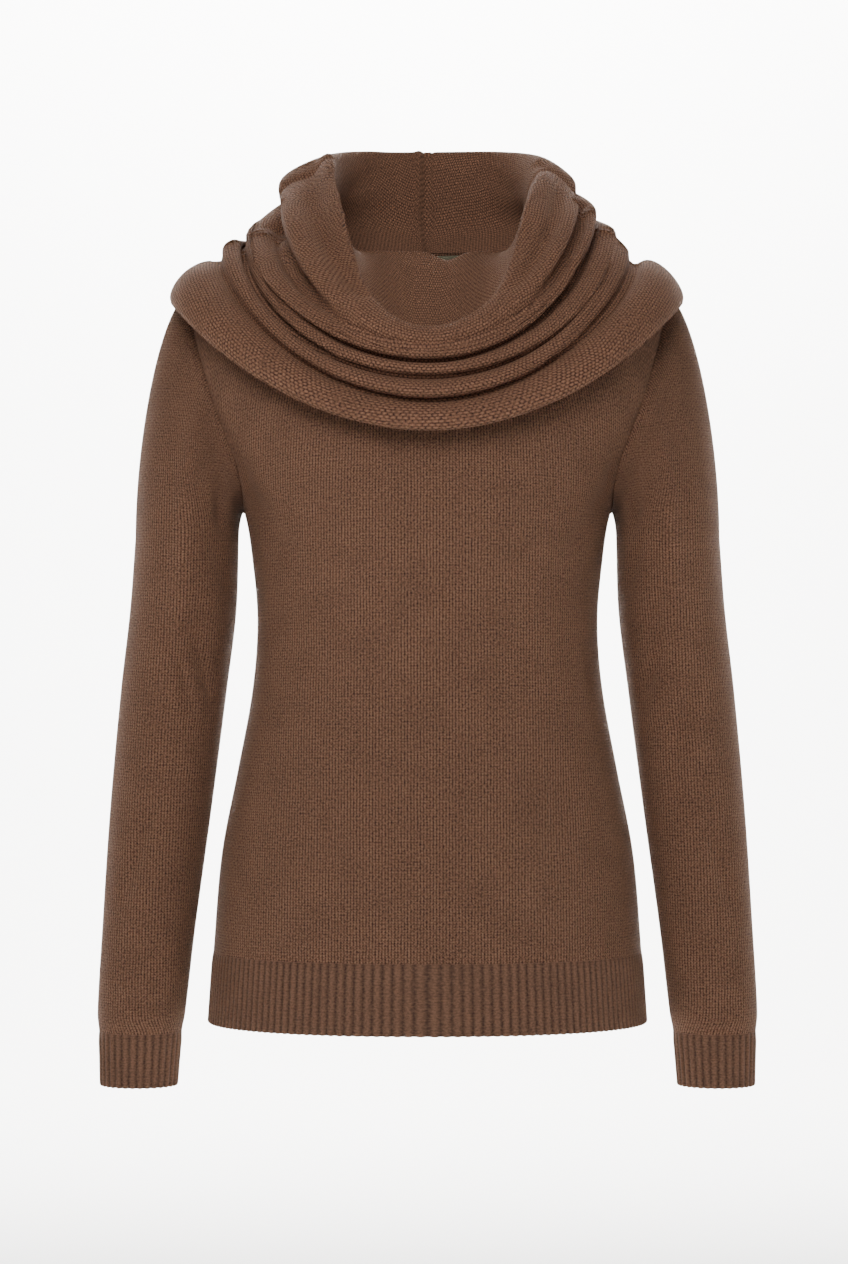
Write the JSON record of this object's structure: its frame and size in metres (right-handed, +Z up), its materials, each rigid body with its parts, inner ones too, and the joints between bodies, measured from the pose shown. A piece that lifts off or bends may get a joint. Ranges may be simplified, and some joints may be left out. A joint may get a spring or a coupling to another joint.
{
  "type": "cowl-neck sweater",
  "caption": "Brown fine-knit women's sweater with long sleeves, ribbed hem and cuffs and a wide draped cowl collar, filled out and hollow as when worn.",
  "frame": {"origin": "middle of the shoulder line, half way between the two shoulder points, where the garment hangs on the wearer's shoulders", "axes": "+Z up, -Y towards the front of the garment, +X towards its left sleeve"},
  "size_m": [0.5104, 0.261, 0.74],
  "materials": {
    "plain_knit": "matt brown fine stocking-stitch knit",
    "rib_knit": "matt brown two-by-two rib knit",
    "collar_knit": "matt brown purl-side knit",
    "label_tape": "olive-grey woven tape, blank"
  },
  "bodies": {
    "root": {"front_panel": "plain_knit", "back_panel": "plain_knit", "front_hem_rib": "rib_knit", "back_hem_rib": "rib_knit", "right_sleeve": "plain_knit", "left_sleeve": "plain_knit", "right_cuff": "rib_knit", "left_cuff": "rib_knit", "cowl_collar": "collar_knit", "neck_label": "label_tape"}
  },
  "joints": []
}
